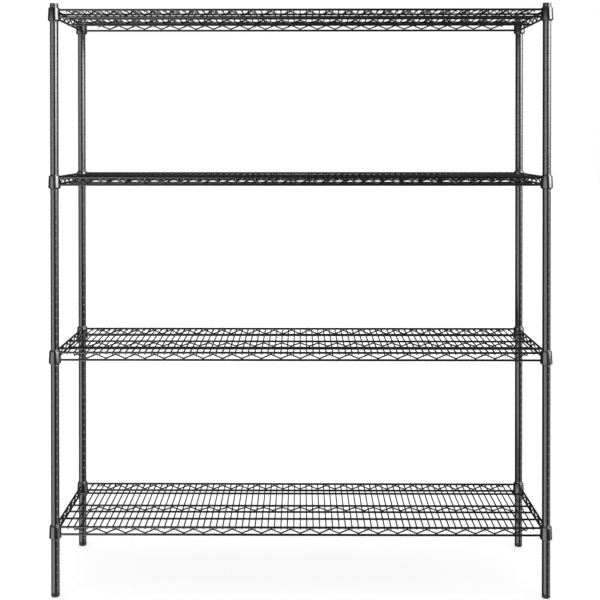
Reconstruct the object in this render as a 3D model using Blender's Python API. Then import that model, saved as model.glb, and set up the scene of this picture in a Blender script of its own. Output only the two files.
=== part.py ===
"""Wire shelving rack: four grooved posts and four welded wire shelves held on split tapered sleeves.

Metres, +Z up. The origin is on the floor under the middle of the rack. The width runs along X
and the front faces -Y. Each shelf slides up off its sleeves, and each foot screws out downwards.
"""

import math

import bmesh
import bpy
from mathutils import Matrix

# Post lattice. One inch is both the tube's diameter and the spacing of its grooves.
INCH = 0.0254
POST_SPAN_X = 1.566
POST_SPAN_Y = 0.420
POST_RADIUS = INCH / 2
POST_WALL = 0.0012
POST_LENGTH = 74 * INCH
GROOVE_DEPTH = 0.0008
GROOVE_HALF = 0.0015

# Foot, cap and the gap left between two pieces that touch.
FOOT_HEIGHT = 0.0135
FOOT_EDGE = 0.0030
CAP_HEIGHT = 0.0080
CAP_EDGE = 0.0012
PLUG_LENGTH = 0.0160
STUD_RADIUS = 0.0050
STUD_TOP = 0.0460
INSERT_HEIGHT = 0.0240
GAP = 0.0003

# Shelf heights, as the centre of the rim's top rail, counted in grooves from the top shelf.
TOP_RAIL_Z = 1.8725
GROOVES_BELOW_TOP = (0, 21, 43, 65)

# Corner collar and the split sleeve inside it, measured from the top rail's centre.
COLLAR_TOP = 0.0060
COLLAR_BOTTOM = -0.0345
COLLAR_TOP_RADIUS = 0.0178
COLLAR_BOTTOM_RADIUS = 0.0197
COLLAR_EDGE = 0.0028
SLEEVE_TOP = 0.0090
SLEEVE_BOTTOM = -0.0370
SLEEVE_TOP_RADIUS = 0.0146
SLEEVE_BOTTOM_RADIUS = 0.0162
SEAT_Z = -0.0140
RIDGE_HALF = 0.0010
ROUND_SIDES = 12

# Shelf wires.
RAIL_RADIUS = 0.0032
RAIL_SIDES = 6
RAIL_DROP = 0.0233
TRUSS_DROP = 0.0210
SNAKE_WIDTH = 0.0034
SNAKE_PERIOD = 0.0620
SNAKE_HALVES_LONG = 46
SNAKE_HALVES_SIDE = 12
RUNNER_OFFSET = 0.1220
RUNNER_WIDTH = 0.0054
CROSS_TOP = 0.0016
CROSS_DEPTH = 0.0031
CROSS_BITE = 0.0004
CROSS_STEP = 0.02068
CROSS_EACH_SIDE = 36
WELD = 0.0024

EPOXY = ("black_epoxy", (0.045, 0.046, 0.048), 0.35, 0.42)
SLEEVE_PLASTIC = ("sleeve_nylon", (0.022, 0.022, 0.023), 0.0, 0.55)
CAP_PLASTIC = ("cap_nylon", (0.018, 0.018, 0.019), 0.0, 0.38)
FOOT_PLASTIC = ("foot_nylon", (0.024, 0.024, 0.025), 0.0, 0.48)
INSERT_PLASTIC = ("insert_nylon", (0.030, 0.030, 0.031), 0.0, 0.60)


def clear_scene():
    """Remove every object."""
    for old in list(bpy.data.objects):
        bpy.data.objects.remove(old, do_unlink=True)


def make_material(spec):
    """Return a Principled material from (name, colour, metallic, roughness)."""
    name, colour, metallic, roughness = spec
    material = bpy.data.materials.new(name)
    material.use_nodes = True
    shader = material.node_tree.nodes["Principled BSDF"]
    shader.inputs["Base Color"].default_value = (*colour, 1.0)
    shader.inputs["Metallic"].default_value = metallic
    shader.inputs["Roughness"].default_value = roughness
    material.diffuse_color = (*colour, 1.0)
    return material


def finish_mesh(name, bm, material, round_angle=35.0):
    """Turn a bmesh into a mesh with outward faces, smooth except at sharp corners."""
    bmesh.ops.remove_doubles(bm, verts=bm.verts, dist=1e-6)
    bmesh.ops.recalc_face_normals(bm, faces=bm.faces)
    mesh = bpy.data.meshes.new(name)
    bm.to_mesh(mesh)
    bm.free()
    mesh.materials.append(material)
    mesh.shade_smooth()
    mesh.set_sharp_from_angle(angle=math.radians(round_angle))
    return mesh


def place(name, mesh, location=(0, 0, 0), turn=0.0, parent=None):
    """Add an object that shows the mesh, turned about Z."""
    piece = bpy.data.objects.new(name, mesh)
    bpy.context.scene.collection.objects.link(piece)
    piece.location = location
    piece.rotation_euler = (0, 0, turn)
    piece.parent = parent
    return piece


def turned(profile, sides=ROUND_SIDES, sweep=math.tau, start=0.0):
    """Spin a closed (radius, z) outline about Z. A part turn keeps both end faces."""
    bm = bmesh.new()
    verts = [bm.verts.new((r * math.cos(start), r * math.sin(start), z)) for r, z in profile]
    whole = sweep >= math.tau - 1e-6
    if whole:
        shape = verts + [bm.edges.new(pair) for pair in zip(verts, verts[1:] + verts[:1])]
    else:
        face = bm.faces.new(verts)
        shape = verts + list(face.edges) + [face]
    bmesh.ops.spin(
        bm, geom=shape, cent=(0, 0, 0), axis=(0, 0, 1), angle=sweep, steps=sides, use_merge=whole
    )
    return bm


def turned_solid(profile, sides=ROUND_SIDES):
    """Spin an open (radius, z) outline that starts and ends on the axis."""
    bm = bmesh.new()
    verts = [bm.verts.new((r, 0, z)) for r, z in profile]
    edges = [bm.edges.new(pair) for pair in zip(verts, verts[1:])]
    bmesh.ops.spin(bm, geom=verts + edges, cent=(0, 0, 0), axis=(0, 0, 1), angle=math.tau, steps=sides)
    bmesh.ops.remove_doubles(bm, verts=bm.verts, dist=1e-6)
    return bm


def box(centre, size):
    """A box of the given size about its centre."""
    bm = bmesh.new()
    bmesh.ops.create_cube(bm, size=1.0, matrix=Matrix.Translation(centre) @ Matrix.Diagonal((*size, 1.0)))
    return bm


def rod(centre, length, axis):
    """A straight rail with a hexagonal section along the X or Y axis."""
    bm = bmesh.new()
    turn = Matrix.Rotation(math.pi / 2, 4, "Y" if axis == "X" else "X")
    bmesh.ops.create_cone(
        bm, cap_ends=True, segments=RAIL_SIDES, radius1=RAIL_RADIUS, radius2=RAIL_RADIUS,
        depth=length, matrix=Matrix.Translation(centre) @ turn @ Matrix.Rotation(math.pi / 6, 4, "Z"),
    )
    return bm


def snake(halves, drop, crest):
    """A three-sided zigzag wire in the XZ plane, halves legs long, between rails drop apart."""
    run = SNAKE_PERIOD / 2
    rise = drop - 2 * (RAIL_RADIUS + GAP)
    thick = SNAKE_WIDTH / math.cos(math.atan2(rise - SNAKE_WIDTH, run))
    bm = bmesh.new()
    ring = None
    for index in range(halves + 1):
        x = (index - halves / 2) * run
        z = -drop / 2 + (rise - thick) / 2 * (1 if is_peak(index, halves, crest) else -1)
        face, back = -SNAKE_WIDTH / 2, SNAKE_WIDTH / 2
        section = ((x, face, z + thick / 2), (x, back, z), (x, face, z - thick / 2))
        corners_here = [bm.verts.new(point) for point in section]
        if ring is None:
            bm.faces.new(corners_here)
        else:
            for a in range(3):
                b = (a + 1) % 3
                bm.faces.new((ring[a], ring[b], corners_here[b], corners_here[a]))
        ring = corners_here
    bm.faces.new(ring)
    return bm


def is_peak(index, halves, crest):
    """Whether a bend of the snake is a top one. The middle bend is a top one where crest is true."""
    return (index + halves // 2 + crest) % 2 == 1


def snake_welds(halves, bends, z):
    """Small welds that tie chosen bends of a snake to the rail at height z."""
    run = SNAKE_PERIOD / 2
    return [box(((index - halves / 2) * run, 0, z), (WELD, WELD, WELD)) for index in bends]


def outer_bends(halves, top, crest):
    """The first and the last bend of a snake on its top or its bottom rail."""
    bends = [index for index in range(halves + 1) if is_peak(index, halves, crest) == top]
    return bends[0], bends[-1]


def truss_shapes(length, halves, drop=RAIL_DROP, crest=False):
    """The rails, snake wire and welds of one truss along X, about its top rail's centre."""
    high, low = -RAIL_RADIUS - GAP / 2, -drop + RAIL_RADIUS + GAP / 2
    return (
        [rod((0, 0, 0), length, "X")]
        + snake_welds(halves, outer_bends(halves, True, crest), high)
        + [snake(halves, drop, crest)]
        + snake_welds(halves, outer_bends(halves, False, crest), low)
        + [rod((0, 0, -drop), length, "X")]
    )


def shifted(bm, offset, quarter_turn=False):
    """Move a bmesh, after a quarter turn about Z where it runs along Y."""
    if quarter_turn:
        bmesh.ops.transform(bm, matrix=Matrix.Rotation(math.pi / 2, 4, "Z"), verts=bm.verts)
    bmesh.ops.translate(bm, verts=bm.verts, vec=offset)
    return bm


def fuse(name, shapes, material):
    """Join closed shapes into one body with exact Boolean unions."""
    base = place(name + "_base", finish_mesh(name + "_base", shapes[0], material))
    for index, shape in enumerate(shapes[1:]):
        tool = place(f"{name}_tool_{index}", finish_mesh(name + "_tool", shape, material))
        union = base.modifiers.new("weld", "BOOLEAN")
        union.operation = "UNION"
        union.object = tool
        graph = bpy.context.evaluated_depsgraph_get()
        graph.update()
        joined = bpy.data.meshes.new_from_object(base.evaluated_get(graph))
        base.modifiers.clear()
        base.data = joined
        bpy.data.objects.remove(tool, do_unlink=True)
    bm = bmesh.new()
    bm.from_mesh(base.data)
    bpy.data.objects.remove(base, do_unlink=True)
    bmesh.ops.dissolve_limit(bm, angle_limit=1e-4, verts=bm.verts, edges=bm.edges)
    bmesh.ops.triangulate(bm, faces=bm.faces)
    return finish_mesh(name, bm, material)


def corners():
    """Yield (name, x, y, turn) for the four posts, with turn pointing outwards along X."""
    for side, sx in (("left", -1), ("right", 1)):
        for row, sy in (("front", -1), ("back", 1)):
            yield f"{row}_{side}", sx * POST_SPAN_X / 2, sy * POST_SPAN_Y / 2, 0.0 if sx > 0 else math.pi


def seat_heights():
    """The heights of the grooves that hold the sleeves, bottom one first."""
    return sorted(TOP_RAIL_Z - INCH * n + SEAT_Z for n in GROOVES_BELOW_TOP)


def post_mesh(material):
    """A thin tube with a shallow groove at each sleeve seat."""
    bottom = FOOT_HEIGHT + GAP
    top = FOOT_HEIGHT + POST_LENGTH - CAP_HEIGHT - GAP
    outer = [(POST_RADIUS, bottom)]
    for z in seat_heights():
        outer += [
            (POST_RADIUS, z - GROOVE_HALF),
            (POST_RADIUS - GROOVE_DEPTH, z),
            (POST_RADIUS, z + GROOVE_HALF),
        ]
    outer.append((POST_RADIUS, top))
    inner = [(POST_RADIUS - POST_WALL, top), (POST_RADIUS - POST_WALL, bottom)]
    return finish_mesh("post", turned(outer + inner), material)


def cap_mesh(material):
    """A flush cap with a bevelled edge and a plug that goes down the tube."""
    plug = POST_RADIUS - POST_WALL - GAP
    outline = [
        (0, -PLUG_LENGTH), (plug, -PLUG_LENGTH), (plug, 0), (POST_RADIUS, 0),
        (POST_RADIUS, CAP_HEIGHT - CAP_EDGE), (POST_RADIUS - CAP_EDGE, CAP_HEIGHT), (0, CAP_HEIGHT),
    ]
    return finish_mesh("cap", turned_solid(outline), material)


def insert_mesh(material):
    """A threaded bush pressed into the bottom of the tube."""
    outer = POST_RADIUS - POST_WALL - GAP
    inner = STUD_RADIUS + GAP
    low = FOOT_HEIGHT + GAP
    outline = [(inner, low), (outer, low), (outer, low + INSERT_HEIGHT), (inner, low + INSERT_HEIGHT)]
    return finish_mesh("insert", turned(outline), material)


def foot_mesh(material):
    """A levelling foot: a round base with a bevelled edge, and the stud above it."""
    outline = [
        (0, 0), (POST_RADIUS - FOOT_EDGE, 0), (POST_RADIUS, FOOT_EDGE), (POST_RADIUS, FOOT_HEIGHT),
        (STUD_RADIUS, FOOT_HEIGHT), (STUD_RADIUS, STUD_TOP), (0, STUD_TOP),
    ]
    return finish_mesh("foot", turned_solid(outline), material)


def sleeve_radius(z):
    """Outer radius of the tapered sleeve at a height."""
    share = (z - SLEEVE_BOTTOM) / (SLEEVE_TOP - SLEEVE_BOTTOM)
    return SLEEVE_BOTTOM_RADIUS + share * (SLEEVE_TOP_RADIUS - SLEEVE_BOTTOM_RADIUS)


def sleeve_mesh(material):
    """Half of a split sleeve: tapered outside, with a ridge inside that sits in a groove."""
    bore = POST_RADIUS + GAP
    ridge = POST_RADIUS - GROOVE_DEPTH + GAP
    outline = [
        (bore, SLEEVE_BOTTOM), (sleeve_radius(SLEEVE_BOTTOM), SLEEVE_BOTTOM),
        (sleeve_radius(SLEEVE_TOP), SLEEVE_TOP), (bore, SLEEVE_TOP),
        (bore, SEAT_Z + RIDGE_HALF), (ridge, SEAT_Z), (bore, SEAT_Z - RIDGE_HALF),
    ]
    split = math.asin(GAP / bore)
    half = turned(outline, ROUND_SIDES // 2, math.pi - 2 * split, -math.pi / 2 + split)
    return finish_mesh("sleeve_half", half, material)


def collar(x, y):
    """A tapered corner collar, 0.3 mm clear of its sleeve all round."""
    clear = GAP / math.cos(math.pi / ROUND_SIDES)
    outline = [
        (sleeve_radius(COLLAR_BOTTOM) + clear, COLLAR_BOTTOM),
        (COLLAR_BOTTOM_RADIUS - COLLAR_EDGE, COLLAR_BOTTOM),
        (COLLAR_BOTTOM_RADIUS, COLLAR_BOTTOM + COLLAR_EDGE),
        (COLLAR_TOP_RADIUS, COLLAR_TOP),
        (sleeve_radius(COLLAR_TOP) + clear, COLLAR_TOP),
    ]
    return shifted(turned(outline, start=-math.pi / 2), (x, y, 0))


def rim_truss(span, offset, along_y=False):
    """One side of a shelf, with its rails' ends inside the collars' walls."""
    length = span - sleeve_radius(0) - COLLAR_TOP_RADIUS
    halves = SNAKE_HALVES_SIDE if along_y else SNAKE_HALVES_LONG
    return [shifted(shape, offset, along_y) for shape in truss_shapes(length, halves)]


def frame_mesh(material):
    """Four collars joined by four rim trusses."""
    half_x, half_y = POST_SPAN_X / 2, POST_SPAN_Y / 2
    shapes = [collar(x, y) for _, x, y, _ in corners()]
    for side in (-1, 1):
        shapes += rim_truss(POST_SPAN_X, (0, side * half_y, 0))
        shapes += rim_truss(POST_SPAN_Y, (side * half_x, 0, 0), along_y=True)
    order = [shapes[0]] + shapes[4:] + shapes[1:4]
    return fuse("shelf_frame", order, material)


def cross_wire(x):
    """A front-to-back wire with three flat sides, one of them on top."""
    length = POST_SPAN_Y - 2 * (RAIL_RADIUS + GAP)
    radius = CROSS_DEPTH / 1.5
    lie = Matrix.Translation((x, 0, CROSS_TOP - radius / 2)) @ Matrix.Rotation(math.pi / 2, 4, "X")
    bm = bmesh.new()
    bmesh.ops.create_cone(
        bm, cap_ends=True, segments=3, radius1=radius, radius2=radius, depth=length,
        matrix=lie @ Matrix.Rotation(math.pi, 4, "Z"),
    )
    return bm


def deck_mesh(material):
    """The cross wires, and the two runners under them that carry the load."""
    length = POST_SPAN_X - 2 * (RAIL_RADIUS + GAP)
    size = (length, RUNNER_WIDTH, RUNNER_WIDTH)
    under = CROSS_TOP - CROSS_DEPTH
    front = box((0, -RUNNER_OFFSET, under + CROSS_BITE - RUNNER_WIDTH / 2), size)
    back = box((0, RUNNER_OFFSET, under - GAP - RUNNER_WIDTH / 2), size)
    steps = range(-CROSS_EACH_SIDE, CROSS_EACH_SIDE + 1)
    wires = [cross_wire(k * CROSS_STEP) for k in steps]
    welds = [box((k * CROSS_STEP, RUNNER_OFFSET, under), (WELD, WELD, WELD)) for k in (steps[0], steps[-1])]
    return fuse("shelf_deck", [front] + wires + welds + [back], material)


def truss_mesh(material):
    """The truss along the middle of a shelf, a little less deep than the rim's."""
    length = POST_SPAN_X - 2 * (RAIL_RADIUS + GAP)
    return fuse("shelf_truss", truss_shapes(length, SNAKE_HALVES_LONG, TRUSS_DROP, crest=True), material)


def build_posts(materials):
    """Place the posts with their caps, inserts and feet."""
    post = post_mesh(materials["epoxy"])
    cap = cap_mesh(materials["cap"])
    insert = insert_mesh(materials["insert"])
    foot = foot_mesh(materials["foot"])
    for name, x, y, _ in corners():
        place(f"post_{name}", post, (x, y, 0))
        place(f"post_cap_{name}", cap, (x, y, FOOT_HEIGHT + POST_LENGTH - CAP_HEIGHT))
        place(f"foot_insert_{name}", insert, (x, y, 0))
        place(f"levelling_foot_{name}", foot, (x, y, 0))


def build_shelves(materials):
    """Place the shelves, each under an empty on its lift axis, and their split sleeves."""
    frame = frame_mesh(materials["epoxy"])
    deck = deck_mesh(materials["epoxy"])
    truss = truss_mesh(materials["epoxy"])
    truss_drop = CROSS_DEPTH - CROSS_TOP + GAP + RAIL_RADIUS
    sleeve = sleeve_mesh(materials["sleeve"])
    for number, grooves in enumerate(GROOVES_BELOW_TOP, start=1):
        height = TOP_RAIL_Z - INCH * grooves
        lift = place(f"shelf_{number}_lift", None, (0, 0, height))
        place(f"shelf_{number}_frame", frame, parent=lift)
        place(f"shelf_{number}_deck", deck, parent=lift)
        place(f"shelf_{number}_truss", truss, (0, 0, -truss_drop), parent=lift)
        for name, x, y, turn in corners():
            place(f"sleeve_{number}_{name}_outer", sleeve, (x, y, height), turn)
            place(f"sleeve_{number}_{name}_inner", sleeve, (x, y, height), turn + math.pi)


def main():
    """Build the rack."""
    clear_scene()
    materials = {
        "epoxy": make_material(EPOXY),
        "sleeve": make_material(SLEEVE_PLASTIC),
        "cap": make_material(CAP_PLASTIC),
        "foot": make_material(FOOT_PLASTIC),
        "insert": make_material(INSERT_PLASTIC),
    }
    build_posts(materials)
    build_shelves(materials)


main()
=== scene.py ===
"""Wire shelving rack: the looks of a four-post rack with welded wire shelves on split sleeves.

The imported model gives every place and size. Each wire is bent from straight stock, each turned
piece is spun from its outline, and each finish is a procedural material.
"""

import logging
import math
from collections.abc import Iterable, Sequence
from dataclasses import dataclass, field
from enum import Enum

import bpy
from mathutils import Matrix, Vector


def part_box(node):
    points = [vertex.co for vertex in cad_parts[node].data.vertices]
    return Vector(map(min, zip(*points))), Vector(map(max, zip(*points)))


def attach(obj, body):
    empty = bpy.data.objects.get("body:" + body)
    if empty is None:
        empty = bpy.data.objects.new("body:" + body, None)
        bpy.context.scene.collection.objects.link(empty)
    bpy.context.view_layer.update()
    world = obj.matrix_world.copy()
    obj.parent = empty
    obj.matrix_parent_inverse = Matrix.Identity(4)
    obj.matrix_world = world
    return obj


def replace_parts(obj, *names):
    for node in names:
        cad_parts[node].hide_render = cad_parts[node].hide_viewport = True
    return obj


log = logging.getLogger("rack")

MM = 0.001
INCH = 25.4 * MM
SHARP = math.radians(38)
MIX_A, MIX_B, MIX_OUT = 6, 7, 2

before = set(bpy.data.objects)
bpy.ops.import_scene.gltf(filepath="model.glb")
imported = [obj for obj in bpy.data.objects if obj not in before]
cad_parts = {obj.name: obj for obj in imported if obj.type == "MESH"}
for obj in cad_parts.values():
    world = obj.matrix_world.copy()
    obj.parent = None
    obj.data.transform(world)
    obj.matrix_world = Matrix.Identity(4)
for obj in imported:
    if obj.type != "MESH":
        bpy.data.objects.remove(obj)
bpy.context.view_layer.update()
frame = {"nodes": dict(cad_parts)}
BODY_NODES = frozenset(frame["nodes"])


# ---------------------------------------------------------------- tools of the bench


def deselect() -> None:
    """Leave edit mode and select nothing."""
    if bpy.context.object and bpy.context.object.mode != "OBJECT":
        bpy.ops.object.mode_set(mode="OBJECT")
    bpy.ops.object.select_all(action="DESELECT")


def pick(*pieces: bpy.types.Object) -> None:
    """Select some pieces and make the first one active.

    Args:
        pieces: the objects that the next operator acts on.
    """
    deselect()
    for piece in pieces:
        piece.select_set(True)
    bpy.context.view_layer.objects.active = pieces[0]


def settle(piece: bpy.types.Object) -> bpy.types.Object:
    """Put a piece's place, turn and scale into its mesh.

    Args:
        piece: the object to settle.

    Returns:
        The same object, at the origin and unturned.
    """
    pick(piece)
    bpy.ops.object.transform_apply(location=True, rotation=True, scale=True)
    return piece


def close_up(piece: bpy.types.Object, sharp: float = SHARP) -> bpy.types.Object:
    """Weld doubles, cap open ends, turn every face outwards and shade the piece.

    Args:
        piece: a mesh object that may still have open ends.
        sharp: the angle past which an edge stays crisp.

    Returns:
        The same object, closed.
    """
    pick(piece)
    bpy.ops.object.mode_set(mode="EDIT")
    bpy.ops.mesh.select_all(action="SELECT")
    bpy.ops.mesh.remove_doubles(threshold=0.00001)
    bpy.ops.mesh.fill_holes(sides=0)
    bpy.ops.mesh.normals_make_consistent(inside=False)
    bpy.ops.object.mode_set(mode="OBJECT")
    bpy.ops.object.shade_smooth_by_angle(angle=sharp)
    return piece


def join(name: str, pieces: Sequence[bpy.types.Object]) -> bpy.types.Object:
    """Join pieces into one object.

    Args:
        name: the name of the joined object.
        pieces: the objects, of which the first one stays.

    Returns:
        The joined object.
    """
    pick(*pieces)
    if len(pieces) > 1:
        bpy.ops.object.join()
    pieces[0].name = pieces[0].data.name = name
    return pieces[0]


def copy_to(piece: bpy.types.Object, name: str, place: Matrix) -> bpy.types.Object:
    """Copy a piece with a mesh of its own, moved in its mesh.

    Args:
        piece: the object to copy.
        name: the copy's name.
        place: where the copy goes, from where the piece is.

    Returns:
        The copy.
    """
    pick(piece)
    bpy.ops.object.duplicate(linked=False)
    made = bpy.context.object
    made.name = made.data.name = name
    made.matrix_world = place
    return settle(made)


def repeat(piece: bpy.types.Object, count: int, step: Sequence[float], weld: bool = False) -> None:
    """Repeat a piece in a row with an applied Array.

    Args:
        piece: the object to repeat.
        count: how many there are in all.
        step: the offset from one to the next, in metres.
        weld: whether neighbours share their end rings.
    """
    pick(piece)
    row = piece.modifiers.new("row", "ARRAY")
    row.count = count
    row.use_relative_offset = False
    row.use_constant_offset = True
    row.constant_offset_displace = step
    row.use_merge_vertices = weld
    row.merge_threshold = 0.00001
    bpy.ops.object.modifier_apply(modifier=row.name)


@dataclass
class WireBender:
    """Bends one wire from straight stock, as a bending machine does.

    The end ring of the wire stays selected in edit mode between two moves.
    """

    name: str
    radius: float
    start: Vector
    heading: Vector
    sides: int = 8
    tip: Vector = field(init=False)

    def __post_init__(self) -> None:
        """Add the first ring of the wire, square to its heading."""
        deselect()
        turn = self.heading.to_track_quat("Z", "Y").to_euler()
        bpy.ops.mesh.primitive_circle_add(
            vertices=self.sides, radius=self.radius, fill_type="NOTHING", location=self.start, rotation=turn
        )
        settle(bpy.context.object)
        bpy.context.object.name = self.name
        bpy.ops.object.mode_set(mode="EDIT")
        bpy.ops.mesh.select_all(action="SELECT")
        self.tip = self.start.copy()
        self.heading = self.heading.normalized()

    def feed(self, length: float) -> "WireBender":
        """Push the wire straight on.

        Args:
            length: how far, in metres.

        Returns:
            The bender, for the next move.
        """
        move = self.heading * length
        bpy.ops.mesh.extrude_region_move(TRANSFORM_OT_translate={"value": move})
        self.tip += move
        return self

    def bend(self, angle: float, bend_radius: float, axis: Vector, steps: int) -> "WireBender":
        """Bend the wire round a former.

        Args:
            angle: the turn in radians, right-handed about the axis.
            bend_radius: the radius of the wire's centreline.
            axis: the former's axis, square to the wire.
            steps: how many straight facets make the bend.

        Returns:
            The bender, for the next move.
        """
        inward = axis.cross(self.heading).normalized() * math.copysign(1.0, angle)
        centre = self.tip + inward * bend_radius
        bpy.ops.mesh.spin(steps=steps, angle=-angle, center=centre, axis=axis)
        turn = Matrix.Rotation(angle, 3, axis)
        self.tip = centre + turn @ (self.tip - centre)
        self.heading = turn @ self.heading
        return self

    def cut(self, capped: bool = True) -> bpy.types.Object:
        """Cut the wire off.

        Args:
            capped: whether both ends get a flat face.

        Returns:
            The wire's object.
        """
        bpy.ops.object.mode_set(mode="OBJECT")
        wire = bpy.context.object
        return close_up(wire) if capped else wire


def spun(name: str, outline: Sequence[tuple[float, float]], steps: int = 48) -> bpy.types.Object:
    """Turn a piece on a lathe: a ring of each radius at each height.

    Args:
        name: the piece's name.
        outline: (radius, height) pairs in order. A closed ring repeats its first pair at the end.
        steps: how many sides the round has.

    Returns:
        The turned object, on the Z axis.
    """
    deselect()
    radius, height = outline[0]
    bpy.ops.mesh.primitive_circle_add(
        vertices=steps, radius=radius, fill_type="NOTHING", location=(0, 0, height)
    )
    piece = settle(bpy.context.object)
    piece.name = name
    bpy.ops.object.mode_set(mode="EDIT")
    bpy.ops.mesh.select_all(action="SELECT")
    for next_radius, next_height in outline[1:]:
        bpy.ops.mesh.extrude_region_move(
            TRANSFORM_OT_translate={"value": (0, 0, next_height - height)}
        )
        share = next_radius / radius
        if abs(share - 1) > 1e-9:
            bpy.ops.transform.resize(value=(share, share, 1), center_override=(0, 0, next_height))
        radius, height = next_radius, next_height
    bpy.ops.object.mode_set(mode="OBJECT")
    return close_up(piece)


def arc(
    centre: tuple[float, float], radius: float, start: float, end: float, steps: int
) -> list[tuple[float, float]]:
    """Points of a round edge in an outline.

    Args:
        centre: (radius, height) of the arc's centre.
        radius: the arc's radius.
        start: where it starts, in degrees from outwards.
        end: where it ends, in degrees.
        steps: how many straight pieces it has.

    Returns:
        (radius, height) pairs.
    """
    angles = [math.radians(start + (end - start) * i / steps) for i in range(steps + 1)]
    return [(centre[0] + radius * math.cos(a), centre[1] + radius * math.sin(a)) for a in angles]


# ---------------------------------------------------------------- finishes


def linear(code: str) -> tuple[float, float, float, float]:
    """Turn an sRGB hex colour to linear RGBA.

    Args:
        code: six hex digits.

    Returns:
        The colour as Blender's sockets take it.
    """
    parts = [int(code[i:i + 2], 16) / 255 for i in (0, 2, 4)]
    return (*[c / 12.92 if c <= 0.04045 else ((c + 0.055) / 1.055) ** 2.4 for c in parts], 1.0)


def add(
    tree: bpy.types.NodeTree, kind: str, inputs: dict | None = None, **settings: object
) -> bpy.types.Node:
    """Add a node with its settings and links.

    Args:
        tree: the node tree.
        kind: the node's type.
        inputs: values or output sockets by input name or number.
        settings: properties of the node.

    Returns:
        The node.
    """
    made = tree.nodes.new(kind)
    for key, value in settings.items():
        setattr(made, key, value)
    for socket, value in (inputs or {}).items():
        if isinstance(value, bpy.types.NodeSocket):
            tree.links.new(value, made.inputs[socket])
        else:
            made.inputs[socket].default_value = value
    return made


def blank_material(name: str) -> tuple[bpy.types.Material, bpy.types.NodeTree]:
    """Make an empty node material.

    Args:
        name: the material's name.

    Returns:
        The material and its node tree.
    """
    material = bpy.data.materials.new(name)
    material.use_nodes = True
    material.node_tree.nodes.clear()
    return material, material.node_tree


@dataclass(frozen=True)
class PowderCoat:
    """Black epoxy powder coat, baked on steel.

    It flows out to a semi-gloss skin with a faint orange peel, varies a little in shade where it
    pools, and holds a trace of pale dust on what faces up.
    """

    name: str
    dark: str = "131415"
    light: str = "1c1d1f"
    dust: str = "5f5e5b"
    gloss: float = 0.17
    dull: float = 0.21
    peel_size: float = 1.6 * MM
    peel_height: float = 0.007 * MM
    mottle_size: float = 14 * MM
    dust_share: float = 0.10

    def build(self) -> bpy.types.Material:
        """Make the material.

        Returns:
            The material, ready for a piece.
        """
        material, tree = blank_material(self.name)
        place = add(tree, "ShaderNodeTexCoord").outputs["Object"]
        mottle = add(
            tree, "ShaderNodeTexNoise", {"Vector": place, "Scale": 1 / self.mottle_size, "Detail": 3.0}
        )
        peel = add(tree, "ShaderNodeTexNoise", {"Vector": place, "Scale": 1 / self.peel_size, "Detail": 1.5})
        shade = add(
            tree, "ShaderNodeMix",
            {0: mottle.outputs["Fac"], MIX_A: linear(self.dark), MIX_B: linear(self.light)},
            data_type="RGBA",
        )
        facing = add(tree, "ShaderNodeNewGeometry").outputs["Normal"]
        upward = add(tree, "ShaderNodeSeparateXYZ", {"Vector": facing}).outputs["Z"]
        settled = add(
            tree, "ShaderNodeMapRange",
            {"Value": upward, "From Min": 0.6, "From Max": 1.0, "To Max": self.dust_share},
        )
        patchy = add(
            tree, "ShaderNodeMath", {0: settled.outputs["Result"], 1: mottle.outputs["Fac"]},
            operation="MULTIPLY",
        )
        dusty = add(
            tree, "ShaderNodeMix",
            {0: patchy.outputs["Value"], MIX_A: shade.outputs[MIX_OUT], MIX_B: linear(self.dust)},
            data_type="RGBA",
        )
        rough = add(
            tree, "ShaderNodeMapRange",
            {
                "Value": mottle.outputs["Fac"], "From Min": 0.3, "From Max": 0.7,
                "To Min": self.gloss, "To Max": self.dull,
            },
        )
        bump = add(tree, "ShaderNodeBump", {"Height": peel.outputs["Fac"], "Distance": self.peel_height})
        shader = add(
            tree, "ShaderNodeBsdfPrincipled",
            {
                "Base Color": dusty.outputs[MIX_OUT], "Roughness": rough.outputs["Result"],
                "Normal": bump.outputs["Normal"], "IOR": 1.55,
            },
        )
        add(tree, "ShaderNodeOutputMaterial", {"Surface": shader.outputs["BSDF"]})
        return material


@dataclass(frozen=True)
class MouldedNylon:
    """Black nylon from a spark-eroded mould: satin, with a fine even grain and slightly greyer wear."""

    name: str
    colour: str = "1c1c1d"
    worn: str = "2b2b2c"
    roughness: float = 0.5
    specular: float = 0.5
    grain_size: float = 0.8 * MM
    grain_height: float = 0.02 * MM

    def build(self) -> bpy.types.Material:
        """Make the material.

        Returns:
            The material, ready for a piece.
        """
        material, tree = blank_material(self.name)
        place = add(tree, "ShaderNodeTexCoord").outputs["Object"]
        grain = add(
            tree, "ShaderNodeTexNoise", {"Vector": place, "Scale": 1 / self.grain_size, "Detail": 2.0}
        )
        scuff = add(
            tree, "ShaderNodeTexNoise", {"Vector": place, "Scale": 1 / (12 * self.grain_size), "Detail": 4.0}
        )
        shade = add(
            tree, "ShaderNodeMix",
            {0: scuff.outputs["Fac"], MIX_A: linear(self.colour), MIX_B: linear(self.worn)}, data_type="RGBA",
        )
        rough = add(
            tree, "ShaderNodeMapRange",
            {"Value": scuff.outputs["Fac"], "To Min": self.roughness - 0.08, "To Max": self.roughness + 0.08},
        )
        bump = add(tree, "ShaderNodeBump", {"Height": grain.outputs["Fac"], "Distance": self.grain_height})
        shader = add(
            tree, "ShaderNodeBsdfPrincipled",
            {
                "Base Color": shade.outputs[MIX_OUT], "Roughness": rough.outputs["Result"],
                "Normal": bump.outputs["Normal"], "IOR": 1.53, "Specular IOR Level": self.specular,
            },
        )
        add(tree, "ShaderNodeOutputMaterial", {"Surface": shader.outputs["BSDF"]})
        return material


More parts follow.
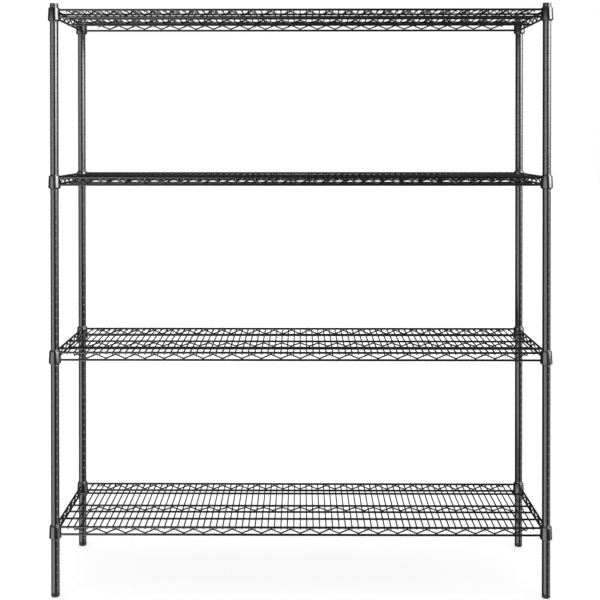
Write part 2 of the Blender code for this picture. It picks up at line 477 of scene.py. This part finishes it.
@dataclass(frozen=True)
class ZincPlate:
    """Bright zinc on the rolled thread of a stud: pale blue-grey metal, duller in cloudy patches."""

    name: str
    bright: str = "b9bcc2"
    cloudy: str = "9a9ca0"
    roughness: float = 0.32
    cloud_size: float = 3 * MM

    def build(self) -> bpy.types.Material:
        """Make the material.

        Returns:
            The material, ready for a piece.
        """
        material, tree = blank_material(self.name)
        place = add(tree, "ShaderNodeTexCoord").outputs["Object"]
        cloud = add(
            tree, "ShaderNodeTexNoise", {"Vector": place, "Scale": 1 / self.cloud_size, "Detail": 4.0}
        )
        shade = add(
            tree, "ShaderNodeMix",
            {0: cloud.outputs["Fac"], MIX_A: linear(self.cloudy), MIX_B: linear(self.bright)},
            data_type="RGBA",
        )
        rough = add(
            tree, "ShaderNodeMapRange",
            {"Value": cloud.outputs["Fac"], "To Min": self.roughness + 0.12, "To Max": self.roughness - 0.06},
        )
        shader = add(
            tree, "ShaderNodeBsdfPrincipled",
            {"Base Color": shade.outputs[MIX_OUT], "Roughness": rough.outputs["Result"], "Metallic": 1.0},
        )
        add(tree, "ShaderNodeOutputMaterial", {"Surface": shader.outputs["BSDF"]})
        return material


class Finish(Enum):
    """The rack's finishes, each with the record's slot and its recipe."""

    # The coat gives long, even highlights down the posts and along the wires.
    EPOXY = ("epoxy_steel", PowderCoat("black_epoxy_powder_coat"))
    # The plastics are duller than the steel: a soft grey ring above and below each collar.
    SLEEVE = ("sleeve_nylon", MouldedNylon("sleeve_nylon_satin"))
    CAP = ("cap_nylon", MouldedNylon("cap_nylon_polished", colour="18181a", worn="222224", roughness=0.36))
    FOOT = (
        "foot_nylon",
        MouldedNylon("foot_nylon_satin", colour="111112", worn="1e1e1e", roughness=0.44, specular=0.22),
    )
    INSERT = (
        "insert_nylon", MouldedNylon("insert_nylon_matt", colour="232324", worn="2e2e2f", roughness=0.6)
    )
    # The one bright metal, seen only when a foot is screwed out.
    STUD = ("foot_nylon", ZincPlate("zinc_plated_steel"))


class Paintshop:
    """Makes each finish once and gives it to the pieces."""

    def __init__(self) -> None:
        """Start with nothing made."""
        self._made: dict[Finish, bpy.types.Material] = {}

    def dress(self, piece: bpy.types.Object, finish: Finish) -> None:
        """Give a piece its finish.

        Args:
            piece: the object to dress.
            finish: the finish that it takes.
        """
        if finish not in self._made:
            self._made[finish] = finish.value[1].build()
        piece.data.materials.clear()
        piece.data.materials.append(self._made[finish])


# ---------------------------------------------------------------- the rack's measures


@dataclass(frozen=True)
class Corner:
    """One of the four corners of the rack."""

    name: str
    x: float
    y: float

    @property
    def turn(self) -> float:
        """Find how a corner piece faces outwards along X.

        Returns:
            The turn about Z, in radians.
        """
        return 0.0 if self.x > 0 else math.pi


@dataclass(frozen=True)
class Measures:
    """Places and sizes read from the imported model."""

    corners: tuple[Corner, ...]
    post_low: float
    post_high: float
    cap_high: float
    rail_heights: tuple[float, ...]

    COLLAR_ABOVE_RAIL = 6.0 * MM
    SHELVES = 4

    @classmethod
    def from_frame(cls) -> "Measures":
        """Read the measures from the CAD nodes' boxes.

        Returns:
            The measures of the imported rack.
        """
        corners = []
        for name in ("front_left", "back_left", "front_right", "back_right"):
            low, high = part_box(f"post_{name}")
            corners.append(Corner(name, (low.x + high.x) / 2, (low.y + high.y) / 2))
        low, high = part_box("post_front_left")
        heights = tuple(
            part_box(f"shelf_{n}_frame")[1].z - cls.COLLAR_ABOVE_RAIL for n in range(1, cls.SHELVES + 1)
        )
        return cls(tuple(corners), low.z, high.z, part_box("post_cap_front_left")[1].z, heights)

    @property
    def half_x(self) -> float:
        """Halve the distance between the posts along X.

        Returns:
            The half distance in metres.
        """
        return abs(self.corners[0].x)

    @property
    def half_y(self) -> float:
        """Halve the distance between the posts along Y.

        Returns:
            The half distance in metres.
        """
        return abs(self.corners[0].y)


# ---------------------------------------------------------------- uprights


@dataclass
class Uprights:
    """Posts with caps, bushes, feet and the split sleeves clipped round them."""

    measures: Measures
    paint: Paintshop
    radius: float = 13.3 * MM
    wall: float = 1.2 * MM
    groove_depth: float = 0.35 * MM
    groove_width: float = 1.8 * MM
    seat_below_rail: float = 14.0 * MM
    sides: int = 40
    foot_height: float = 13.5 * MM
    stud_radius: float = 4.9 * MM
    stud_pitch: float = 1.5 * MM
    sleeve_top: float = 9.0 * MM
    sleeve_bottom: float = -37.0 * MM
    sleeve_top_radius: float = 14.6 * MM
    sleeve_bottom_radius: float = 16.2 * MM
    plug_depth: float = 16.0 * MM
    bush_height: float = 24.0 * MM

    def build(self) -> None:
        """Build every upright piece and set it on its body."""
        self._posts()
        self._caps()
        self._feet()
        self._bushes()
        self._sleeves()

    def _groove(self, z: float) -> list[tuple[float, float]]:
        """Outline one rolled groove, from below, with rings that keep the wall straight.

        Args:
            z: the height of the groove's middle.

        Returns:
            (radius, height) pairs.
        """
        half, r, hold = self.groove_width / 2, self.radius, 0.3 * MM
        floor = r - self.groove_depth
        return [
            (r, z - half - hold), (r, z - half), (floor, z - 0.3 * half),
            (floor, z + 0.3 * half), (r, z + half), (r, z + half + hold),
        ]

    def _posts(self) -> None:
        """Roll the grooved tubes: a groove every inch, in step with the sleeves' seats."""
        m = self.measures
        seat = m.rail_heights[0] - self.seat_below_rail
        lowest = seat - math.floor((seat - m.post_low - 2 * self.groove_width) / INCH) * INCH
        count = math.floor((m.post_high - self.groove_width - lowest) / INCH) + 1
        bore = self.radius - self.wall
        edge = 0.4 * MM
        outline = [(bore, m.post_low), (self.radius - edge, m.post_low)]
        outline.append((self.radius, m.post_low + edge))
        for index in range(count):
            outline += self._groove(lowest + index * INCH)
        outline += [
            (self.radius, m.post_high - edge), (self.radius - edge, m.post_high), (bore, m.post_high),
            (bore, m.post_low),
        ]
        tube = spun("post", outline, self.sides)
        self._stand(tube, "post", Finish.EPOXY)
        log.info("posts rolled with %d grooves each", count)

    def _stand(self, piece: bpy.types.Object, stem: str, finish: Finish, body: str = "uprights") -> None:
        """Stand a copy of a piece at each corner and drop the pattern piece.

        Args:
            piece: the pattern, on the Z axis.
            stem: the start of the copies' names and of the CAD nodes' names.
            finish: what the copies are dressed in.
            body: the CAD body, or the start of its name where each corner has its own.
        """
        for corner in self.measures.corners:
            made = copy_to(piece, f"{stem}_{corner.name}_detail", Matrix.Translation((corner.x, corner.y, 0)))
            self.paint.dress(made, finish)
            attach(made, body if body == "uprights" else f"{body}_{corner.name}")
            node = f"{stem}_{corner.name}"
            if node in BODY_NODES:
                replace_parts(made, node)
        bpy.data.objects.remove(piece)

    def _caps(self) -> None:
        """Mould the flush caps: a low dome, a round edge and a plug with gripping rings."""
        m = self.measures
        high, low, r = m.cap_high, m.post_high + 0.3 * MM, self.radius
        plug = r - self.wall - 0.2 * MM
        outline = [(0.2 * MM, low - self.plug_depth), (plug - 1.0 * MM, low - self.plug_depth)]
        for index in range(4):
            z = low - self.plug_depth + (2 + 3.4 * index) * MM
            outline += [(plug - 0.5 * MM, z), (plug, z + 0.5 * MM), (plug - 0.5 * MM, z + 2.4 * MM)]
        outline += [(plug - 0.5 * MM, low), (r - 0.3 * MM, low), (r, low + 0.3 * MM)]
        outline += arc((r - 1.3 * MM, high - 1.5 * MM), 1.3 * MM, 0, 84, 5)
        outline += [(r * 0.55, high - 0.12 * MM), (r * 0.3, high), (0.2 * MM, high)]
        self._stand(spun("cap", outline, self.sides), "post_cap", Finish.CAP)
        log.info("caps pressed in")

    def _feet(self) -> None:
        """Mould the levelling feet round their zinc-plated studs."""
        r, h = self.radius, self.foot_height
        outline = [(0.2 * MM, 0.0), (r - 3.4 * MM, 0.0)]
        outline += arc((r - 3.2 * MM, 3.2 * MM), 3.2 * MM, -88, 0, 7)
        outline += [(r, h - 3.4 * MM), (r - 0.5 * MM, h - 3.0 * MM)]
        outline += [(r - 0.5 * MM, h - 2.2 * MM), (r, h - 1.8 * MM)]
        outline += [(r, h - 0.5 * MM), (r - 0.5 * MM, h), (0.2 * MM, h)]
        self._stand(spun("foot", outline, self.sides), "levelling_foot", Finish.FOOT, "foot")
        thread = [(0.2 * MM, h - 2 * MM)]
        turns = math.floor((46 * MM - h - 1 * MM) / self.stud_pitch)
        for index in range(turns):
            z = h + index * self.stud_pitch
            thread += [(self.stud_radius * 0.86, z), (self.stud_radius, z + self.stud_pitch / 2)]
        thread += [(self.stud_radius * 0.8, h + turns * self.stud_pitch + 0.6 * MM)]
        thread += [(0.2 * MM, h + turns * self.stud_pitch + 0.6 * MM)]
        self._stand(spun("stud", thread, 24), "foot_stud", Finish.STUD, "foot")
        log.info("levelling feet screwed in, %d turns of thread", turns)

    def _bushes(self) -> None:
        """Press the threaded bushes into the tubes, with ribs that bite the wall."""
        low = self.measures.post_low
        outer, inner = self.radius - self.wall - 0.15 * MM, self.stud_radius + 0.25 * MM
        outline = [(inner, low), (outer - 0.5 * MM, low)]
        for index in range(5):
            z = low + (1.2 + 4.2 * index) * MM
            outline += [(outer - 0.4 * MM, z), (outer, z + 0.8 * MM)]
            outline += [(outer, z + 2.0 * MM), (outer - 0.4 * MM, z + 2.8 * MM)]
        outline += [(outer - 0.4 * MM, low + self.bush_height), (inner, low + self.bush_height), (inner, low)]
        self._stand(spun("bush", outline, 32), "foot_insert", Finish.INSERT)
        log.info("bushes pressed in")

    def _sleeve_outline(self) -> list[tuple[float, float]]:
        """Outline the section of a sleeve, round from the bottom of its bore.

        Returns:
            (radius, height) pairs of a closed ring, with height 0 at the rail's centre.
        """
        bore, ridge = self.radius + 0.25 * MM, self.radius - self.groove_depth + 0.25 * MM
        top, bottom, seat = self.sleeve_top, self.sleeve_bottom, -self.seat_below_rail
        return [
            (bore, bottom), (self.sleeve_bottom_radius - 1.6 * MM, bottom),
            (self.sleeve_bottom_radius - 0.2 * MM, bottom + 1.6 * MM),
            (self.sleeve_bottom_radius, bottom + 2.4 * MM),
            (self.sleeve_top_radius + 0.05 * MM, top - 1.2 * MM), (self.sleeve_top_radius - 0.5 * MM, top),
            (bore, top), (bore, seat + 1.1 * MM), (ridge, seat + 0.3 * MM), (ridge, seat - 0.3 * MM),
            (bore, seat - 1.1 * MM), (bore, bottom),
        ]

    def _sleeve_half(self) -> bpy.types.Object:
        """Mould one half of the split sleeve, cut flat just short of the post's middle.

        Returns:
            The half on the +X side of the Z axis.
        """
        half = spun("sleeve_half", self._sleeve_outline(), self.sides)
        pick(half)
        bpy.ops.object.mode_set(mode="EDIT")
        bpy.ops.mesh.select_all(action="SELECT")
        bpy.ops.mesh.bisect(
            plane_co=(0.2 * MM, 0, 0), plane_no=(1, 0, 0), use_fill=True, clear_inner=True, clear_outer=False
        )
        bpy.ops.object.mode_set(mode="OBJECT")
        return close_up(half)

    def _sleeves(self) -> None:
        """Clip two halves round each post at each shelf."""
        half = self._sleeve_half()
        for number, height in enumerate(self.measures.rail_heights, start=1):
            for corner in self.measures.corners:
                for side, extra in (("outer", 0.0), ("inner", math.pi)):
                    node = f"sleeve_{number}_{corner.name}_{side}"
                    turn = Matrix.Rotation(corner.turn + extra, 4, "Z")
                    place = Matrix.Translation((corner.x, corner.y, height)) @ turn
                    made = copy_to(half, node + "_detail", place)
                    self.paint.dress(made, Finish.SLEEVE)
                    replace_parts(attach(made, "uprights"), node)
        bpy.data.objects.remove(half)
        log.info("sleeves clipped on")


# ---------------------------------------------------------------- shelves


@dataclass
class Shelf:
    """One welded wire shelf, made about its top rail's centre and copied to each height."""

    measures: Measures
    paint: Paintshop
    rail_radius: float = 3.6 * MM
    rail_drop: float = 23.3 * MM
    snake_radius: float = 2.4 * MM
    middle_drop: float = 21.0 * MM
    snake_period: float = 62.0 * MM
    snake_bend: float = 6.0 * MM
    snake_bite: float = 0.25 * MM
    front_periods: int = 24
    front_kept: float = 23.30
    side_periods: int = 8
    side_kept: float = 6.1
    cross_radius: float = 2.3 * MM
    cross_step: float = 20.68 * MM
    cross_each_side: int = 36
    cross_tail: float = 7.6 * MM
    runner_offset: float = 122.0 * MM
    runner_radius: float = 3.4 * MM
    runner_drop: float = 4.5 * MM
    collar_sides: int = 48

    def build(self) -> None:
        """Make the parts of one shelf, then set a copy of each on every shelf's body."""
        patterns = {
            "rim_rails": (self._rim_rails(), "frame"),
            "rim_snakes": (self._rim_snakes(), None),
            "cross_wires": (self._cross_wires(), "deck"),
            "runners": (self._runners(), None),
            "middle_truss": (self._middle_truss(), "truss"),
            "welds": (self._welds(), None),
        }
        collar = self._collar()
        for corner in self.measures.corners:
            place = Matrix.Translation((corner.x, corner.y, 0))
            patterns[f"collar_{corner.name}"] = (copy_to(collar, f"collar_{corner.name}", place), None)
        bpy.data.objects.remove(collar)
        for number, height in enumerate(self.measures.rail_heights, start=1):
            for part, (pattern, node) in patterns.items():
                made = copy_to(pattern, f"shelf_{number}_{part}", Matrix.Translation((0, 0, height)))
                self.paint.dress(made, Finish.EPOXY)
                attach(made, f"shelf_{number}")
                if node:
                    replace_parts(made, f"shelf_{number}_{node}")
            log.info("shelf %d welded and hung at %.1f mm", number, height / MM)
        for pattern, _ in patterns.values():
            bpy.data.objects.remove(pattern)

    def _bar(self, name: str, radius: float, start: Vector, end: Vector, sides: int = 12) -> bpy.types.Object:
        """Cut one straight wire.

        Args:
            name: the wire's name.
            radius: the wire's radius.
            start: the centre of one end.
            end: the centre of the other end.
            sides: how many sides the round has.

        Returns:
            The wire.
        """
        return WireBender(name, radius, start, end - start, sides).feed((end - start).length).cut()

    def _rim_rails(self) -> bpy.types.Object:
        """Cut the top and bottom rails of the four sides, run into the collars.

        Returns:
            The rails as one object.
        """
        x, y = self.measures.half_x, self.measures.half_y
        into = 16.0 * MM
        bars = []
        for z in (0.0, -self.rail_drop):
            for side in (-1, 1):
                ends = Vector((-x + into, side * y, z)), Vector((x - into, side * y, z))
                bars.append(self._bar("rail", self.rail_radius, *ends))
                ends = Vector((side * x, -y + into, z)), Vector((side * x, y - into, z))
                bars.append(self._bar("rail", self.rail_radius, *ends))
        return join("rim_rails", bars)

    def _snake(self, periods: int, kept: float, rail_radius: float, drop: float) -> bpy.types.Object:
        """Bend one snake wire along X, with a low bend at its middle, or a high one if the waves are odd.

        Args:
            periods: how many waves are bent.
            kept: how many of them are kept, about the middle.
            rail_radius: the radius of the rails above and below.
            drop: the height between the centres of the two rails.

        Returns:
            The wire, half way between two rails whose upper one is at height 0.
        """
        bend, wave, length = self.snake_bend, self.snake_period, kept * self.snake_period
        rise = drop - 2 * (rail_radius + self.snake_radius - self.snake_bite)
        # The slope of a leg between two bends, from wave/2 = 2·bend·sin + leg·cos with t = tan(slope/2).
        half_tangent = (wave - math.sqrt(wave ** 2 - 4 * (4 * bend - rise) * rise)) / (2 * (4 * bend - rise))
        angle = 2 * math.atan(half_tangent)
        leg = (wave / 2 - 2 * bend * math.sin(angle)) / math.cos(angle)
        start = Vector((-periods * wave / 2, 0, -(drop + rise) / 2))
        bender = WireBender("snake", self.snake_radius, start, Vector((1, 0, 0)))
        up = Vector((0, -1, 0))
        bender.bend(angle, bend, up, 2).feed(leg).bend(-2 * angle, bend, up, 4).feed(leg)
        bender.bend(angle, bend, up, 2)
        wire = bender.cut(capped=False)
        repeat(wire, periods, (wave, 0, 0), weld=True)
        pick(wire)
        bpy.ops.object.mode_set(mode="EDIT")
        for side in (-1, 1):
            bpy.ops.mesh.select_all(action="SELECT")
            bpy.ops.mesh.bisect(plane_co=(side * length / 2, 0, 0), plane_no=(side, 0, 0), clear_outer=True)
        bpy.ops.object.mode_set(mode="OBJECT")
        return close_up(wire)

    def _rim_snakes(self) -> bpy.types.Object:
        """Bend the snake wires of the four sides.

        Returns:
            The wires as one object.
        """
        x, y = self.measures.half_x, self.measures.half_y
        front = self._snake(self.front_periods, self.front_kept, self.rail_radius, self.rail_drop)
        side = self._snake(self.side_periods, self.side_kept, self.rail_radius, self.rail_drop)
        quarter = Matrix.Rotation(math.pi / 2, 4, "Z")
        wires = [copy_to(front, "snake", Matrix.Translation((0, s * y, 0))) for s in (-1, 1)]
        wires += [copy_to(side, "snake", Matrix.Translation((s * x, 0, 0)) @ quarter) for s in (-1, 1)]
        bpy.data.objects.remove(front)
        bpy.data.objects.remove(side)
        return join("rim_snakes", wires)

    def _cross_wires(self) -> bpy.types.Object:
        """Bend the cross wires, with both ends down against the inside of the rim's top rail.

        Returns:
            The wires as one object.
        """
        end = self.measures.half_y - self.rail_radius - self.cross_radius + 0.1 * MM
        bend = 2.6 * MM
        low = Vector((-self.cross_each_side * self.cross_step, -end, -self.cross_tail))
        axis = Vector((1, 0, 0))
        bender = WireBender("cross_wire", self.cross_radius, low, Vector((0, 0, 1)), 6)
        bender.feed(self.cross_tail - bend).bend(-math.pi / 2, bend, axis, 3)
        bender.feed(2 * (end - bend)).bend(-math.pi / 2, bend, axis, 3).feed(self.cross_tail - bend)
        wire = bender.cut()
        repeat(wire, 2 * self.cross_each_side + 1, (self.cross_step, 0, 0))
        return join("cross_wires", [wire])

    def _runners(self) -> bpy.types.Object:
        """Cut the two single runners that carry the cross wires.

        Returns:
            The runners as one object.
        """
        x = self.measures.half_x + 1.0 * MM
        bars = []
        for side in (-1, 1):
            y = side * self.runner_offset
            ends = Vector((-x, y, -self.runner_drop)), Vector((x, y, -self.runner_drop))
            bars.append(self._bar("runner", self.runner_radius, *ends))
        return join("runners", bars)

    def _middle_truss(self) -> bpy.types.Object:
        """Build the truss under the middle of the deck.

        Returns:
            Its two wires and its snake as one object.
        """
        x = self.measures.half_x + 1.0 * MM
        wires = []
        for z in (-self.runner_drop, -self.runner_drop - self.middle_drop):
            wires.append(self._bar("runner", self.runner_radius, Vector((-x, 0, z)), Vector((x, 0, z))))
        snake = self._snake(self.front_periods + 1, self.front_kept, self.runner_radius, self.middle_drop)
        wires.append(copy_to(snake, "snake", Matrix.Translation((0, 0, -self.runner_drop))))
        bpy.data.objects.remove(snake)
        return join("middle_truss", wires)

    def _weld(self, radius: float) -> bpy.types.Object:
        """Make one flattened weld nugget.

        Args:
            radius: the nugget's radius before it is flattened.

        Returns:
            The nugget.
        """
        deselect()
        bpy.ops.mesh.primitive_ico_sphere_add(subdivisions=1, radius=radius)
        nugget = bpy.context.object
        nugget.scale = (1.5, 1.0, 0.45)
        return close_up(settle(nugget), math.radians(80))

    def _welds(self) -> bpy.types.Object:
        """Set weld nuggets where the snakes' bends meet the rails.

        Returns:
            The nuggets as one object.
        """
        x, y, wave = self.measures.half_x, self.measures.half_y, self.snake_period
        nugget = self._weld(2.0 * MM)
        high, low = -self.rail_radius, -self.rail_drop + self.rail_radius
        middle_high = -self.runner_drop - self.runner_radius
        middle_low = -self.runner_drop - self.middle_drop + self.runner_radius
        rows = []
        for line_y, tops, bottoms, top_count in (
            (-y, high, low, 24), (y, high, low, 24), (0.0, middle_high, middle_low, 23),
        ):
            for z, count in ((tops, top_count), (bottoms, 47 - top_count)):
                row = copy_to(nugget, "row", Matrix.Translation(((1 - count) / 2 * wave, line_y, z)))
                repeat(row, count, (wave, 0, 0))
                rows.append(row)
        quarter = Matrix.Rotation(math.pi / 2, 4, "Z")
        for z, count in ((high, 6), (low, 7)):
            for side in (-1, 1):
                place = Matrix.Translation((side * x, (1 - count) / 2 * wave, z)) @ quarter
                row = copy_to(nugget, "row", place)
                repeat(row, count, (0, wave, 0))
                rows.append(row)
        bpy.data.objects.remove(nugget)
        return join("welds", rows)

    def _collar(self) -> bpy.types.Object:
        """Turn one tapered collar: a rolled lip above, a drawn-in skirt below and a conical bore.

        Returns:
            The collar on the Z axis.
        """
        top, bottom = 6.0 * MM, -34.5 * MM
        high_r, low_r = 17.8 * MM, 19.7 * MM
        outline = [(15.05 * MM, top - 0.5 * MM), (15.5 * MM, top)]
        outline += arc((high_r - 1.6 * MM, top - 1.6 * MM), 1.6 * MM, 80, 4, 5)
        outline += [(low_r - 0.05 * MM, bottom + 3.6 * MM)]
        outline += arc((low_r - 2.4 * MM, bottom + 2.6 * MM), 2.4 * MM, 0, -80, 6)
        outline += [(16.9 * MM, bottom), (16.45 * MM, bottom + 0.4 * MM), (15.05 * MM, top - 0.5 * MM)]
        return spun("collar", outline, self.collar_sides)


# ---------------------------------------------------------------- studio


@dataclass(frozen=True)
class Softbox:
    """One soft panel of light, far off, seen only in the gloss of the rack.

    Azimuths run from the front (0) to the right (positive), and heights above the horizon, both in
    degrees.
    """

    left: float
    right: float
    low: float
    high: float
    strength: float
    blur: float = 6.0

    def build(self, tree: bpy.types.NodeTree, azimuth: object, height: object) -> object:
        """Add the panel to the world's nodes.

        Args:
            tree: the world's node tree.
            azimuth: the socket with a ray's azimuth.
            height: the socket with a ray's height above the horizon.

        Returns:
            The socket with the panel's strength along the ray.
        """
        edges = (
            (azimuth, self.left, 1.0), (azimuth, self.right, -1.0),
            (height, self.low, 1.0), (height, self.high, -1.0),
        )
        total = None
        for socket, edge, sense in edges:
            blur = math.radians(self.blur) * sense
            ramp = add(
                tree, "ShaderNodeMapRange",
                {
                    "Value": socket, "From Min": math.radians(edge) - blur,
                    "From Max": math.radians(edge) + blur,
                },
                interpolation_type="SMOOTHSTEP",
            ).outputs["Result"]
            total = ramp if total is None else product(tree, total, ramp)
        return product(tree, total, self.strength)


def product(tree: bpy.types.NodeTree, first: object, second: object) -> object:
    """Multiply two values in a node tree.

    Args:
        tree: the node tree.
        first: a socket or a number.
        second: a socket or a number.

    Returns:
        The socket with the product.
    """
    return add(tree, "ShaderNodeMath", {0: first, 1: second}, operation="MULTIPLY").outputs["Value"]


@dataclass
class Studio:
    """A white room: a pale floor, soft panels of light at both sides and the camera."""

    focal: float = 62.704
    eye: tuple[float, float, float] = (-0.001, -3.534, 1.4647)
    tilt: float = 0.533
    pan: float = 0.404
    roll: float = 0.020
    shift: tuple[float, float] = (0.01253, -0.25373)
    floor_size: float = 60.0
    gloom: float = 0.09
    shade: float = 0.7
    panels: tuple[Softbox, ...] = (
        Softbox(-74, -8, -85, 13, 3.9),
        Softbox(58, 112, -85, 50, 2.1),
        Softbox(38, 84, 1, 60, 18.0),
    )

    def build(self) -> None:
        """Set up the floor, the room's light and the camera."""
        self._floor()
        self._room()
        self._camera()

    def _floor(self) -> None:
        """Lay a plain pale floor that the gloss of the rack doesn't pick up."""
        deselect()
        bpy.ops.mesh.primitive_plane_add(size=self.floor_size, location=(0, 0, -0.0002))
        floor = settle(bpy.context.object)
        floor.name = "floor"
        floor.visible_glossy = False
        material, tree = blank_material("pale_floor")
        shader = add(
            tree, "ShaderNodeBsdfPrincipled",
            {
                "Base Color": linear("f0f0f0"), "Roughness": 0.9,
                "Emission Color": linear("ffffff"), "Emission Strength": 0.5,
            },
        )
        add(tree, "ShaderNodeOutputMaterial", {"Surface": shader.outputs["BSDF"]})
        floor.data.materials.append(material)

    def _room(self) -> None:
        """Fill the room with white, and let the gloss of the rack see only the panels."""
        world = bpy.data.worlds.new("room")
        bpy.context.scene.world = world
        world.use_nodes = True
        tree = world.node_tree
        tree.nodes.clear()
        ray = add(tree, "ShaderNodeTexCoord").outputs["Generated"]
        way = add(tree, "ShaderNodeSeparateXYZ", {"Vector": ray})
        toward = product(tree, way.outputs["Y"], -1.0)
        turn = add(tree, "ShaderNodeMath", {0: way.outputs["X"], 1: toward}, operation="ARCTAN2")
        azimuth = turn.outputs["Value"]
        height = add(tree, "ShaderNodeMath", {0: way.outputs["Z"]}, operation="ARCSINE").outputs["Value"]
        glow = self.gloom
        for panel in self.panels:
            lit = panel.build(tree, azimuth, height)
            glow = add(tree, "ShaderNodeMath", {0: glow, 1: lit}, operation="ADD").outputs["Value"]
        white = linear("ffffff")
        seen = add(tree, "ShaderNodeBackground", {"Color": white, "Strength": 1.0})
        shed = add(tree, "ShaderNodeBackground", {"Color": white, "Strength": self.shade})
        gloss = add(tree, "ShaderNodeBackground", {"Color": white, "Strength": glow})
        path = add(tree, "ShaderNodeLightPath")
        lit = add(
            tree, "ShaderNodeMixShader",
            {0: path.outputs["Is Glossy Ray"], 1: shed.outputs[0], 2: gloss.outputs[0]},
        )
        both = add(
            tree, "ShaderNodeMixShader",
            {0: path.outputs["Is Camera Ray"], 1: lit.outputs[0], 2: seen.outputs[0]},
        )
        add(tree, "ShaderNodeOutputWorld", {"Surface": both.outputs[0]})

    def _camera(self) -> None:
        """Stand the camera in front, level, with its view shifted down to take in the feet."""
        data = bpy.data.cameras.new("camera")
        data.lens, data.sensor_width = self.focal, 36.0
        data.shift_x, data.shift_y = self.shift
        camera = bpy.data.objects.new("camera", data)
        bpy.context.scene.collection.objects.link(camera)
        camera.location = self.eye
        turns = (90 - self.tilt, self.roll, self.pan)
        camera.rotation_euler = tuple(math.radians(turn) for turn in turns)
        bpy.context.scene.camera = camera


def main() -> None:
    """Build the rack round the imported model."""
    logging.basicConfig(level=logging.INFO, format="%(name)s: %(message)s")
    bpy.context.scene.view_settings.view_transform = "Standard"
    measures = Measures.from_frame()
    paint = Paintshop()
    Studio().build()
    Uprights(measures, paint).build()
    Shelf(measures, paint).build()
    deselect()


if __name__ == "__main__":
    main()
